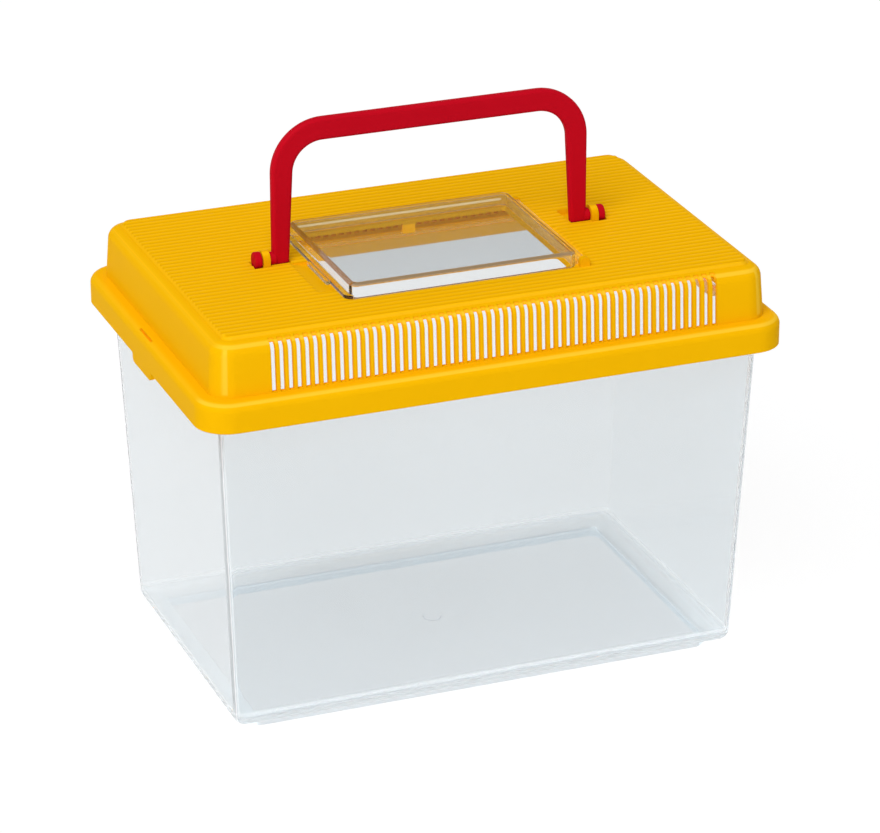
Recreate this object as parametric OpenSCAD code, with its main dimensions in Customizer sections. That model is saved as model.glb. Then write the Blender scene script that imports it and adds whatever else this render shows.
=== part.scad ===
// Small pet keeper: a clear tub, a ribbed and slotted clip-on lid, a clear hatch and a carry handle.
// Millimetres. The origin is under the middle of the foot ring, +X along the length, +Z up, front at -Y.

/* [Lid outline] */
// Length of the lid over its skirt
lid_length = 232; // [200:1:290]
// Width of the lid over its skirt
lid_width = 152; // [136:1:200]
// Wall thickness of the lid moulding
lid_wall = 1.8; // [1.4:0.1:2.4]
// Radius of the skirt's upright corners
skirt_corner = 12.8; // [8:0.2:20]
// Rounding along the ledge's outer edge
ledge_round = 3.5; // [1:0.5:5]
// How far the skirt reaches below the tub's rim
skirt_drop = 9.4; // [7:0.2:14]
// Width of the flat ledge outside the hood
ledge_width = 5.8; // [4.5:0.1:9]
// Height of the hood's shoulder above the ledge
hood_rise = 20; // [14:0.5:30]
// Slope of the hood walls over their height
hood_draft = 1; // [0:0.1:2]
// Radius of the hood's upright corners
hood_corner = 8.5; // [5:0.5:14]
// Rounding along the hood's top edge
hood_round = 5; // [2:0.5:6]

/* [Ribbed top] */
// Width of the flat shoulder around the raised top
shoulder_width = 6.1; // [5.5:0.1:10]
// Height of the raised top above the shoulder
top_step = 1.6; // [0.8:0.1:3]
// Slope of the raised top's edge
top_slope = 1.1; // [0.3:0.1:1.3]
// Distance from one moulded rib to the next
rib_pitch = 3.27; // [2.5:0.01:5]
// Height of the rounded ribs
rib_height = 0.4; // [0.2:0.1:0.8]

/* [Air slots] */
// Distance from one slot to the next
slot_pitch = 3.29; // [2.75:0.02:5.99]
// Width of each slot
slot_width = 1.9; // [1.2:0.1:2.4]
// Plain wall left at each end of a slot row
slot_margin = 21; // [14:0.5:40]
// How far the slots run in over the top edge
slot_reach = 4.7; // [2.5:0.1:5.5]
// Plain wall left under the slots
slot_foot = 0.2; // [0.2:0.1:4]

/* [Snap clips] */
// Width of the finger tongue at each short end
tongue_width = 22.4; // [14:0.2:40]
// How far the tongue hangs below the skirt
tongue_drop = 3.4; // [1.5:0.1:8]
// Rounding of the tongue's lower corners
tongue_round = 2; // [0.5:0.1:3]
// Length of the nib that hooks under the rim
nib_length = 14; // [8:0.5:20]
// How far the nib reaches under the rim
nib_hold = 1; // [0.4:0.1:1.6]
// Height of the nib's lead-in slope
nib_slope = 2.4; // [1:0.1:3]
// Width of the slit in the ledge that lets the tongue flex
slit_width = 0.8; // [0.5:0.1:1.6]

/* [Tub] */
// Height of the tub's rim above the table
tub_height = 140.4; // [100:0.5:200]
// Wall thickness of the tub
tub_wall = 1.6; // [1.2:0.1:2.6]
// How far each wall leans in between the rim and the floor
tub_draft = 5.6; // [1:0.2:9]
// Rounding where the walls meet the floor
floor_round = 4.2; // [3:0.2:8]
// Radius of the tub's upright corners at the rim
tub_corner = 4; // [3:0.5:10]
// How far the rim stands out from the wall
rim_overhang = 5.7; // [4:0.1:9]
// Thickness of the rim
rim_thickness = 1.8; // [1.4:0.1:2.6]
// Height of the foot ring under the floor
foot_height = 4; // [2:0.5:8]
// Distance of the foot ring from the edge of the floor
foot_inset = 7; // [5:0.5:20]
// Thickness of the foot ring
foot_rib = 1.6; // [1.2:0.1:3]
// Diameter of the moulding gate's mark under the floor
gate_diameter = 7; // [4:0.5:12]

/* [Hatch] */
// Length of the hatch over its upright walls
hatch_length = 90; // [70:1:95]
// Width of the hatch over its upright walls
hatch_width = 71; // [50:0.5:78]
// Height of the hatch
hatch_height = 6; // [4.5:0.1:8]
// Wall thickness of the hatch
hatch_wall = 1.5; // [1.1:0.1:1.8]
// Radius of the hatch's upright corners
hatch_corner = 3.2; // [2:0.1:6]
// Rounding along the hatch's top edge
hatch_round = 1.3; // [0.4:0.1:1.4]
// Middle of the hatch along the lid
hatch_x = -4; // [-8:0.5:0]
// Middle of the hatch across the lid
hatch_y = -11.25; // [-14:0.25:-4]
// Flange along the hatch's free side
flange_width = 2.2; // [1.5:0.1:4]
// Thickness of the hatch's flanges
flange_thickness = 1.4; // [1:0.1:1.8]
// How far the finger lip stands out from the flange
lip_reach = 1.6; // [1:0.1:3]
// Length of the finger lip
lip_length = 22; // [14:1:34]
// Middle of the finger lip across the lid
lip_y = -19; // [-24:0.5:-8]
// Distance from the hatch's wall to its hinge axis
hinge_offset = 3.1; // [2.7:0.1:5]
// Diameter of the hinge barrel
barrel_diameter = 2.8; // [2.6:0.1:3.4]
// Diameter of the hinge pins
hinge_pin = 2.2; // [1.6:0.1:2.4]
// Thickness of the lugs that hold the hinge pins
lug_thickness = 2.2; // [1.6:0.1:4]
// Wall around the pin in each lug
lug_wall = 0.8; // [0.7:0.1:1.2]
// Wall that closes each lug beyond its pin
lug_end = 0.8; // [0.6:0.1:1]
// Length of the finger dips beside the hatch
dip_length = 32; // [20:1:44]
// Depth of the finger dips
dip_depth = 1.8; // [1:0.1:2]
// Width of the finger dips
dip_width = 9.5; // [6:0.5:12]
// Width of the catch tab under the hatch opening's rear edge
tab_width = 5; // [3:0.5:10]
// How far the catch tab hangs below the lid's top
tab_drop = 6; // [4:0.5:9]

/* [Handle] */
// Gap between the hatch's finger lip and the handle's leg
leg_gap = 4.5; // [3.8:0.1:12]
// Width of each leg at its foot
leg_width = 6.4; // [5:0.1:10]
// How much wider each leg gets towards the bar
leg_flare = 2; // [0:0.1:2.5]
// Height of the handle above its pivot
handle_rise = 53.6; // [50:0.2:80]
// Depth of the carry bar
bar_depth = 8.8; // [6:0.2:12]
// Thickness of the handle's strap
strap_thickness = 3.8; // [2.8:0.1:5]
// Outer bend radius of the handle
bend_outer = 20.5; // [12:0.5:26]
// Inner bend radius of the handle
bend_inner = 12; // [4:0.5:16]
// Height of the handle's pivot above the ribbed top
pivot_height = 1.6; // [1.2:0.1:3]
// Length of the leg below the pivot
leg_foot = 2.3; // [2.2:0.1:2.8]
// Diameter of the shoulder on each leg
shoulder_diameter = 5.2; // [4.6:0.1:6.4]
// Height of that shoulder
shoulder_height = 1.3; // [0.8:0.1:2.5]
// Diameter of the handle's pivot pins
pivot_pin = 4; // [3:0.1:4.2]
// Diameter of the pin heads
pin_head = 6.6; // [5.6:0.1:8]
// Thickness of the pin heads
head_thickness = 2.7; // [1.5:0.1:4]
// Thickness of the ears that carry the handle
ear_thickness = 2.8; // [2:0.1:4]
// Wall around the pin in each ear
ear_wall = 1.5; // [1.3:0.1:2.6]

/* [Fits] */
// Gap between the tub's rim and the lid's skirt
rim_clearance = 1; // [0.4:0.1:1.5]
// Gap over the nib when the lid is down
nib_clearance = 0.2; // [0.1:0.05:0.5]
// Radial clearance of the hinge and pivot pins
pin_clearance = 0.08; // [0.03:0.01:0.1]
// Side clearance between a pivot and the lid
side_clearance = 0.3; // [0.15:0.05:0.5]
// Gap between the closed hatch and the ribs
seat_clearance = 0.2; // [0.1:0.05:0.4]
// Free space around the handle's feet and pin heads
foot_clearance = 0.5; // [0.3:0.1:0.8]

/* [Hidden] */
$fn = 48;
hull_fn = 32;
overcut = 1;
skin = 0.01;

// Heights
floor_bottom = foot_height;
rim_top = tub_height;
rim_bottom = rim_top - rim_thickness;
skirt_bottom = rim_top - skirt_drop;
ledge_top = rim_top + lid_wall;
shoulder_top = ledge_top + hood_rise;
plateau_top = shoulder_top + top_step;
hatch_bottom = plateau_top + seat_clearance;
pivot_z = plateau_top + pivot_height;

// Plan sizes, each worked inwards from the lid's skirt
rim_length = lid_length - 2 * (lid_wall + rim_clearance);
rim_width = lid_width - 2 * (lid_wall + rim_clearance);
rim_corner = skirt_corner - lid_wall - rim_clearance;
wall_length = rim_length - 2 * rim_overhang;
wall_width = rim_width - 2 * rim_overhang;
floor_length = wall_length - 2 * tub_draft;
floor_width = wall_width - 2 * tub_draft;
hood_length = lid_length - 2 * ledge_width;
hood_width = lid_width - 2 * ledge_width;
hood_top_length = hood_length - 2 * hood_draft;
hood_top_width = hood_width - 2 * hood_draft;
plateau_length = hood_top_length - 2 * shoulder_width;
plateau_width = hood_top_width - 2 * shoulder_width;
plateau_corner = max(hood_corner - shoulder_width, 1) + top_slope;

// Ribs and slots
rib_count = floor(plateau_width / rib_pitch) + 2;
rib_radius = (pow(rib_pitch / 2, 2) + pow(rib_height, 2)) / (2 * rib_height);
slot_count = floor((hood_length - 2 * slot_margin) / slot_pitch);

// Hatch opening and hinge
opening_length = hatch_length - 2 * hatch_wall;
opening_width = hatch_width - 2 * hatch_wall;
hatch_left = hatch_x - hatch_length / 2;
hatch_right = hatch_x + hatch_length / 2;
hatch_front = hatch_y - hatch_width / 2;
hatch_rear = hatch_y + hatch_width / 2;
lip_left = hatch_left - flange_width - lip_reach;
hinge_x = hatch_right + hinge_offset;
hinge_z = hatch_bottom + barrel_diameter / 2;
barrel_front = hatch_front + lug_thickness + side_clearance;
barrel_rear = hatch_rear - lug_thickness - side_clearance;
pin_reach = lug_thickness - lug_end;
lug_radius = hinge_pin / 2 + pin_clearance + lug_wall;
dip_radius = (pow(dip_width, 2) + pow(dip_depth, 2)) / (2 * dip_depth);

// Handle
leg_inner = abs(lip_left) + leg_gap;
leg_outer = leg_inner + leg_width;
bar_inner = leg_inner - leg_flare;
shoulder_end = leg_outer + shoulder_height;
ear_inner = shoulder_end + side_clearance;
ear_outer = ear_inner + ear_thickness;
head_inner = ear_outer + side_clearance;
head_outer = head_inner + head_thickness;
ear_radius = pivot_pin / 2 + pin_clearance + ear_wall;
pocket_floor = pivot_z - max(pin_head / 2, leg_foot) - foot_clearance;
pocket_rear = 12;
throat_height = 0.75 * pivot_pin;

// Rectangle with true round corners, centred
module rounded_rect(size_x, size_y, r) {
    square([size_x - 2 * r, size_y], center = true);
    square([size_x, size_y - 2 * r], center = true);
    for (sx = [-1, 1], sy = [-1, 1])
        translate([sx * (size_x / 2 - r), sy * (size_y / 2 - r)])
            circle(r);
}

// Disc whose upper edge is rounded, lying on z = 0
module soft_disc(r, edge_r) {
    rotate_extrude($fn = hull_fn)
        union() {
            square([max(r - edge_r, skin), edge_r]);
            intersection() {
                translate([r - edge_r, 0])
                    circle(edge_r);
                square([r, edge_r]);
            }
        }
}

// Children at the four corners of a rectangle, inset by their own radius
module at_corners(size_x, size_y, r) {
    for (sx = [-1, 1], sy = [-1, 1])
        translate([sx * (size_x / 2 - r), sy * (size_y / 2 - r), 0])
            children();
}

// Moulded block: upright rounded corners, soft top edge, walls that lean in by draft
module moulded_block(top_x, top_y, height, corner_r, edge_r, draft = 0) {
    hull() {
        at_corners(top_x + 2 * draft, top_y + 2 * draft, corner_r)
            cylinder(r = corner_r, h = skin, $fn = hull_fn);
        translate([0, 0, height - edge_r])
            at_corners(top_x, top_y, corner_r)
                soft_disc(corner_r, edge_r);
    }
}

// Tub shape: soft floor edge, walls that lean out to the rim
module tub_form(floor_x, floor_y, rim_x, rim_y, height, floor_r, corner_r) {
    hull() {
        translate([0, 0, floor_r])
            mirror([0, 0, 1])
                at_corners(floor_x, floor_y, floor_r)
                    soft_disc(floor_r, floor_r);
        translate([0, 0, height])
            at_corners(rim_x, rim_y, corner_r)
                cylinder(r = corner_r, h = skin, $fn = hull_fn);
    }
}

// Cylinder that lies along X, from x0 to x1
module bar_x(r, x0, x1) {
    translate([x0, 0, 0])
        rotate([0, 90, 0])
            cylinder(r = r, h = x1 - x0);
}

// Cylinder that lies along Y, from y0 to y1
module bar_y(r, y0, y1) {
    translate([0, y1, 0])
        rotate([90, 0, 0])
            cylinder(r = r, h = y1 - y0);
}

// Block given by its two opposite corners
module block(low, high) {
    translate(low)
        cube(high - low);
}

// ---- tank ----

module foot_ring() {
    outer_x = floor_length - 2 * foot_inset;
    outer_y = floor_width - 2 * foot_inset;
    corner = floor_round + tub_wall;
    linear_extrude(foot_height + tub_wall / 2)
        difference() {
            rounded_rect(outer_x, outer_y, corner);
            rounded_rect(outer_x - 2 * foot_rib, outer_y - 2 * foot_rib, corner - foot_rib);
        }
}

module rim() {
    translate([0, 0, rim_bottom])
        linear_extrude(rim_thickness)
            difference() {
                rounded_rect(rim_length, rim_width, rim_corner);
                rounded_rect(wall_length - tub_wall, wall_width - tub_wall, tub_corner - tub_wall / 2);
            }
}

module tank() {
    inner_floor = max(floor_round - tub_wall, 1);
    color([0.86, 0.9, 0.92, 0.35])
    union() {
        difference() {
            translate([0, 0, floor_bottom])
                tub_form(floor_length, floor_width, wall_length, wall_width,
                         rim_top - floor_bottom - skin, floor_round, tub_corner);
            translate([0, 0, floor_bottom + tub_wall])
                tub_form(floor_length - 2 * tub_wall, floor_width - 2 * tub_wall,
                         wall_length - 2 * tub_wall, wall_width - 2 * tub_wall,
                         rim_top - floor_bottom - tub_wall, inner_floor, tub_corner - tub_wall);
        }
        rim();
        foot_ring();
        translate([0, 0, floor_bottom - tub_wall / 4])
            cylinder(d = gate_diameter, h = tub_wall / 2);
    }
}

// ---- lid ----

// Solid of the hood's top with its rounded ribs, which run along X
module ribbed_plateau() {
    rib_axis = plateau_top - rib_radius;
    intersection() {
        hull() {
            translate([0, 0, shoulder_top - lid_wall / 2])
                at_corners(plateau_length + 2 * top_slope, plateau_width + 2 * top_slope, plateau_corner)
                    cylinder(r = plateau_corner, h = lid_wall / 2, $fn = hull_fn);
            translate([0, 0, plateau_top - skin])
                at_corners(plateau_length, plateau_width, plateau_corner)
                    cylinder(r = plateau_corner, h = skin, $fn = hull_fn);
        }
        translate([-plateau_length, 0, 0])
            rotate([90, 0, 90])
                linear_extrude(2 * plateau_length)
                    intersection() {
                        translate([-plateau_width, shoulder_top - lid_wall])
                            square([2 * plateau_width, top_step + 2 * lid_wall]);
                        union() {
                            translate([-plateau_width, shoulder_top - lid_wall])
                                square([2 * plateau_width, top_step + lid_wall - rib_height]);
                            for (i = [0 : rib_count - 1])
                                translate([(i - (rib_count - 1) / 2) * rib_pitch, rib_axis])
                                    circle(rib_radius, $fn = 96);
                        }
                    }
    }
}

// Hood and skirt as one hollow shell
module lid_shell() {
    cavity_length = lid_length - 2 * lid_wall;
    cavity_width = lid_width - 2 * lid_wall;
    hood_edge = max(hood_round - lid_wall, 0.5);
    difference() {
        union() {
            translate([0, 0, skirt_bottom])
                moulded_block(lid_length, lid_width, ledge_top - skirt_bottom, skirt_corner, ledge_round);
            translate([0, 0, rim_top])
                moulded_block(hood_top_length, hood_top_width, shoulder_top - rim_top,
                              hood_corner, hood_round, hood_draft);
            ribbed_plateau();
        }
        translate([0, 0, skirt_bottom - overcut])
            moulded_block(cavity_length, cavity_width, skirt_drop + overcut,
                          skirt_corner - lid_wall, rim_clearance);
        translate([0, 0, rim_top - overcut])
            moulded_block(hood_top_length - 2 * lid_wall, hood_top_width - 2 * lid_wall,
                          shoulder_top - rim_top - lid_wall + overcut,
                          hood_corner - lid_wall, hood_edge, hood_draft);
        translate([0, 0, shoulder_top - lid_wall - overcut])
            linear_extrude(top_step - rib_height + overcut)
                rounded_rect(plateau_length - 2 * lid_wall, plateau_width - 2 * lid_wall,
                             plateau_corner);
    }
}

// Cutter for one row of slots, through the front wall and over its top edge
module slot_row() {
    slot_bottom = ledge_top + slot_foot;
    translate([0, -hood_width / 2 + slot_reach, 0])
        rotate([90, 0, 0])
            linear_extrude(slot_reach + overcut)
                for (i = [0 : slot_count - 1])
                    translate([(i - (slot_count - 1) / 2) * slot_pitch - slot_width / 2, slot_bottom])
                        square([slot_width, shoulder_top - slot_bottom + overcut]);
}

// Finger tongue on the -X end, with the nib that snaps under the tub's rim
module clip() {
    skirt_x = lid_length / 2;
    nib_top = rim_bottom - nib_clearance;
    nib_x = rim_length / 2 - nib_hold;
    nib_foot = skirt_bottom + lid_wall;
    translate([-skirt_x, 0, 0])
        rotate([90, 0, 90])
            linear_extrude(lid_wall)
                union() {
                    translate([-tongue_width / 2, skirt_bottom - tongue_drop + tongue_round])
                        square([tongue_width, tongue_drop]);
                    translate([-tongue_width / 2 + tongue_round, skirt_bottom - tongue_drop])
                        square([tongue_width - 2 * tongue_round, tongue_drop]);
                    for (s = [-1, 1])
                        translate([s * (tongue_width / 2 - tongue_round),
                                   skirt_bottom - tongue_drop + tongue_round])
                            circle(tongue_round);
                }
    translate([0, nib_length / 2, 0])
        rotate([90, 0, 0])
            linear_extrude(nib_length)
                polygon([
                    [-skirt_x + lid_wall / 2, nib_foot],
                    [-skirt_x + lid_wall, nib_foot],
                    [-nib_x, nib_foot + nib_slope],
                    [-nib_x, nib_top],
                    [-skirt_x + lid_wall / 2, nib_top]
                ]);
}

// Slit in the ledge beside the tongue
module clip_slit() {
    slit_x = -lid_length / 2 + lid_wall;
    block([slit_x, -nib_length / 2, rim_top - overcut],
          [slit_x + slit_width, nib_length / 2, ledge_top + overcut]);
}

// Everything inside a finger dip, beside the hatch at its free side; grow leaves the wall under it
module dip(grow) {
    dip_edge = hatch_left;
    intersection() {
        translate([dip_edge, 0, plateau_top - dip_depth + dip_radius])
            bar_y(dip_radius + grow, lip_y - dip_length / 2 - grow, lip_y + dip_length / 2 + grow);
        block([dip_edge - dip_width - grow, lip_y - dip_length, plateau_top - dip_depth - 2 * lid_wall],
              [dip_edge, lip_y + dip_length, plateau_top + overcut - (grow > 0 ? lid_wall : 0)]);
    }
}

// Both finger dips: the second is the first one's mirror image about the hatch's middle
module dips(grow) {
    dip(grow);
    translate([2 * hatch_x, 0, 0])
        mirror([1, 0, 0])
            dip(grow);
}

// Pocket that the +X foot of the handle turns in; grow leaves the wall around it
module foot_pocket(grow) {
    front = strap_thickness / 2 + foot_clearance;
    head_half = pin_head / 2 + foot_clearance;
    low = pocket_floor - grow;
    high = plateau_top + (grow > 0 ? -rib_height - skin : overcut);
    block([leg_inner - foot_clearance - grow, -front - grow, low],
          [ear_inner + grow, pocket_rear + grow, high]);
    block([ear_inner - grow, -head_half - grow, low],
          [head_outer + foot_clearance + grow, head_half + grow, high]);
}

// Ear on the +X side: a rounded lug that stands in the pocket
module ear() {
    translate([0, 0, pivot_z])
        bar_x(ear_radius, ear_inner, ear_outer);
    block([ear_inner, -ear_radius, pocket_floor - skin], [ear_outer, ear_radius, pivot_z]);
}

// Bore for the pivot pin, open to the rear through a throat that is narrower than the pin
module ear_bore() {
    translate([0, 0, pivot_z])
        bar_x(pivot_pin / 2 + pin_clearance, ear_inner - skin, ear_outer + skin);
    block([ear_inner - skin, 0, pivot_z - throat_height / 2],
          [ear_outer + skin, ear_radius + overcut, pivot_z + throat_height / 2]);
}

// Lug for one hinge pin of the hatch, from y0 to y1
module hinge_lug(y0, y1) {
    translate([hinge_x, 0, hinge_z])
        bar_y(lug_radius, y0, y1);
    block([hinge_x - lug_radius, y0, plateau_top - lid_wall / 2],
          [hinge_x + lug_radius, y1, hinge_z]);
}

module lid() {
    front_lug = barrel_front - side_clearance;
    rear_lug = barrel_rear + side_clearance;
    panel_under = plateau_top - rib_height - lid_wall;
    color([0.97, 0.72, 0.02])
    difference() {
        union() {
            difference() {
                union() {
                    lid_shell();
                    dips(lid_wall);
                    for (s = [0, 1])
                        mirror([s, 0, 0])
                            foot_pocket(lid_wall);
                }
                dips(0);
                for (s = [0, 1])
                    mirror([s, 0, 0])
                        foot_pocket(0);
            }
            for (s = [0, 1])
                mirror([s, 0, 0]) {
                    ear();
                    clip();
                }
            hinge_lug(front_lug - lug_thickness, front_lug);
            hinge_lug(rear_lug, rear_lug + lug_thickness);
            block([-tab_width / 2, hatch_rear - hatch_wall, plateau_top - tab_drop],
                  [tab_width / 2, hatch_rear, panel_under + skin]);
        }
        slot_row();
        mirror([0, 1, 0])
            slot_row();
        translate([hatch_x, hatch_y, plateau_top - tab_drop - overcut])
            linear_extrude(tab_drop + 2 * overcut)
                rounded_rect(opening_length, opening_width, hatch_corner - hatch_wall);
        translate([hinge_x, 0, hinge_z])
            bar_y(hinge_pin / 2 + pin_clearance, front_lug - lug_thickness + lug_end,
                  rear_lug + lug_thickness - lug_end);
        for (s = [0, 1])
            mirror([s, 0, 0]) {
                ear_bore();
                clip_slit();
            }
    }
}

// ---- hatch ----

module hatch() {
    color([0.86, 0.88, 0.88, 0.35])
    union() {
        difference() {
            union() {
                translate([hatch_x, hatch_y, hatch_bottom])
                    moulded_block(hatch_length, hatch_width, hatch_height, hatch_corner, hatch_round);
                translate([hatch_left + hatch_corner, hatch_y, hatch_bottom])
                    linear_extrude(flange_thickness)
                        union() {
                            rounded_rect(2 * (flange_width + hatch_corner),
                                         hatch_width - 2 * skin, hatch_corner);
                            translate([0, lip_y - hatch_y])
                                rounded_rect(2 * (flange_width + lip_reach + hatch_corner), lip_length,
                                             lip_reach);
                        }
                block([hatch_right - hatch_wall, barrel_front, hatch_bottom],
                      [hinge_x, barrel_rear, hatch_bottom + flange_thickness]);
            }
            translate([hatch_x, hatch_y, hatch_bottom - overcut])
                linear_extrude(hatch_height - hatch_wall + overcut)
                    rounded_rect(opening_length, opening_width, hatch_corner - hatch_wall);
        }
        translate([hinge_x, 0, hinge_z]) {
            bar_y(barrel_diameter / 2, barrel_front, barrel_rear);
            bar_y(hinge_pin / 2, barrel_front - pin_reach, barrel_rear + pin_reach);
        }
    }
}

// ---- handle ----

// Outline of the strap, bent from one length: legs, two bends and the carry bar
module handle_outline() {
    bend_z = handle_rise - bend_outer;
    inner_top = handle_rise - bar_depth;
    inner_z = inner_top - bend_inner;
    difference() {
        union() {
            translate([-leg_outer, -leg_foot])
                square([2 * leg_outer, bend_z + leg_foot]);
            translate([-leg_outer + bend_outer, 0])
                square([2 * (leg_outer - bend_outer), handle_rise]);
            for (s = [-1, 1])
                translate([s * (leg_outer - bend_outer), bend_z])
                    circle(bend_outer);
        }
        polygon([
            [-leg_inner, -leg_foot - overcut],
            [leg_inner, -leg_foot - overcut],
            [bar_inner, inner_z],
            [-bar_inner, inner_z]
        ]);
        translate([-bar_inner + bend_inner, 0])
            square([2 * (bar_inner - bend_inner), inner_top]);
        for (s = [-1, 1])
            translate([s * (bar_inner - bend_inner), inner_z])
                circle(bend_inner);
    }
}

module handle() {
    color([0.76, 0.05, 0.13])
    union() {
        translate([0, strap_thickness / 2, pivot_z])
            rotate([90, 0, 0])
                linear_extrude(strap_thickness)
                    handle_outline();
        translate([0, 0, pivot_z])
            for (s = [0, 1])
                mirror([s, 0, 0]) {
                    bar_x(shoulder_diameter / 2, leg_outer - skin, shoulder_end);
                    bar_x(pivot_pin / 2, leg_outer, head_inner + skin);
                    bar_x(pin_head / 2, head_inner, head_outer);
                }
    }
}

tank();
lid();
hatch();
handle();
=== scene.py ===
import math
import bmesh
import bpy
import numpy as np
from mathutils import Matrix, Vector


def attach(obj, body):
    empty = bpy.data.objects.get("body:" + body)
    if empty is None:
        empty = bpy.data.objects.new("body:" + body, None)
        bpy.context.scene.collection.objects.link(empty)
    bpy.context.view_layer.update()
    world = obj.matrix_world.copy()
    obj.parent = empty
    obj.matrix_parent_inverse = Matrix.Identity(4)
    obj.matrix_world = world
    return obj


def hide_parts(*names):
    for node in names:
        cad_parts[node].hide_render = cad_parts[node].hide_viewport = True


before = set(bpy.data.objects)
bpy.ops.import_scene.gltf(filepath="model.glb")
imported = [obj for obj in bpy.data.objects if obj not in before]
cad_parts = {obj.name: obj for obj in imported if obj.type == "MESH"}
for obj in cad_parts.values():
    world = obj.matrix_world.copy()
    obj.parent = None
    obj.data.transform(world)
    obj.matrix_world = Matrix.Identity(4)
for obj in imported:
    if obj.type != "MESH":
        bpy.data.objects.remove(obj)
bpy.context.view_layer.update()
print("frame loaded:", sorted(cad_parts))

mm = 0.001  # the sizes below are in millimetres and the meshes in metres


# a shader socket that takes part in Python expressions
class Wire:
    def __init__(self, paint, socket):
        self.paint = paint
        self.socket = socket

    def calc(self, operation, *values):
        node = self.paint.node("ShaderNodeMath", {"operation": operation}, list(values))
        return Wire(self.paint, node.outputs[0])

    def __add__(self, other): return self.calc("ADD", self, other)
    def __radd__(self, other): return self.calc("ADD", other, self)
    def __sub__(self, other): return self.calc("SUBTRACT", self, other)
    def __rsub__(self, other): return self.calc("SUBTRACT", other, self)
    def __mul__(self, other): return self.calc("MULTIPLY", self, other)
    def __rmul__(self, other): return self.calc("MULTIPLY", other, self)
    def __truediv__(self, other): return self.calc("DIVIDE", self, other)
    def abs(self): return self.calc("ABSOLUTE", self)
    def root(self): return self.calc("SQRT", self)
    def cosine(self): return self.calc("COSINE", self)
    def above(self, limit): return self.calc("GREATER_THAN", self, limit)
    def atLeast(self, limit): return self.calc("MAXIMUM", self, limit)
    def clamp(self): return self.calc("MINIMUM", self.atLeast(0.0), 1.0)

    def rise(self, low, high):  # smoothly from 0 at low to 1 at high
        t = ((self - low) / (high - low)).clamp()
        return t * t * (3.0 - 2.0 * t)

    def fall(self, low, high):  # smoothly from 1 at low to 0 at high
        return 1 - self.rise(low, high)

    def between(self, low, high, soft):  # 1 between low and high, fading over soft at both ends
        return self.rise(low - soft / 2, low + soft / 2) * self.fall(high - soft / 2, high + soft / 2)


# the nodes of one material, or of the world
class Paint:
    def __init__(self, name, world=None):
        self.material = world or bpy.data.materials.new(name)
        self.material.use_nodes = True
        self.tree = self.material.node_tree
        self.tree.nodes.clear()
        self.out = self.tree.nodes.new("ShaderNodeOutputWorld" if world else "ShaderNodeOutputMaterial")

    # adds a node: settings first, then its sockets by name or by order
    def node(self, kind, settings=None, sockets=None):
        made = self.tree.nodes.new(kind)
        for key, value in (settings or {}).items():
            setattr(made, key, value)
        pairs = sockets.items() if isinstance(sockets, dict) else enumerate(sockets or [])
        for key, value in pairs:
            if isinstance(value, Wire):
                value = value.socket
            if isinstance(value, bpy.types.NodeSocket):
                self.tree.links.new(value, made.inputs[key])
            elif value is not None:
                made.inputs[key].default_value = value
        return made

    def wire(self, node, output=0):
        return Wire(self, node.outputs[output])

    def axes(self):  # Object coordinates, then the piece's own X, Y and Z in millimetres
        place = self.node("ShaderNodeTexCoord").outputs["Object"]
        parts = self.node("ShaderNodeSeparateXYZ", None, [place])
        return [place] + [self.wire(parts, k) / mm for k in range(3)]

    def noise(self, place, scale, detail):
        made = self.node("ShaderNodeTexNoise", None, {"Vector": place, "Scale": scale, "Detail": detail})
        return self.wire(made)

    def blend(self, factor, first, second):  # colour mix
        made = self.node("ShaderNodeMix", {"data_type": "RGBA"}, {0: factor, 6: first, 7: second})
        return self.wire(made, 2)

    def surface(self, shader):
        self.tree.links.new(shader, self.out.inputs["Surface"])
        return self.material


# what every clear piece, and every coloured one, has in common
clearBody = {"flowDetail": 2.0, "flowHeight": 0.001, "hazeDetail": 3.0, "milkRoughness": 0.5,
             "milkSpecular": 0.2, "milkThrough": 0.5, "paintedRoughness": 0.5, "paintedSpecular": 0.1}
colouredBody = {"grainDetail": 3.0, "grainHeight": 0.0002, "cloudDetail": 2.0, "ior": 1.5,
                "bevelSamples": 4}
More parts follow.
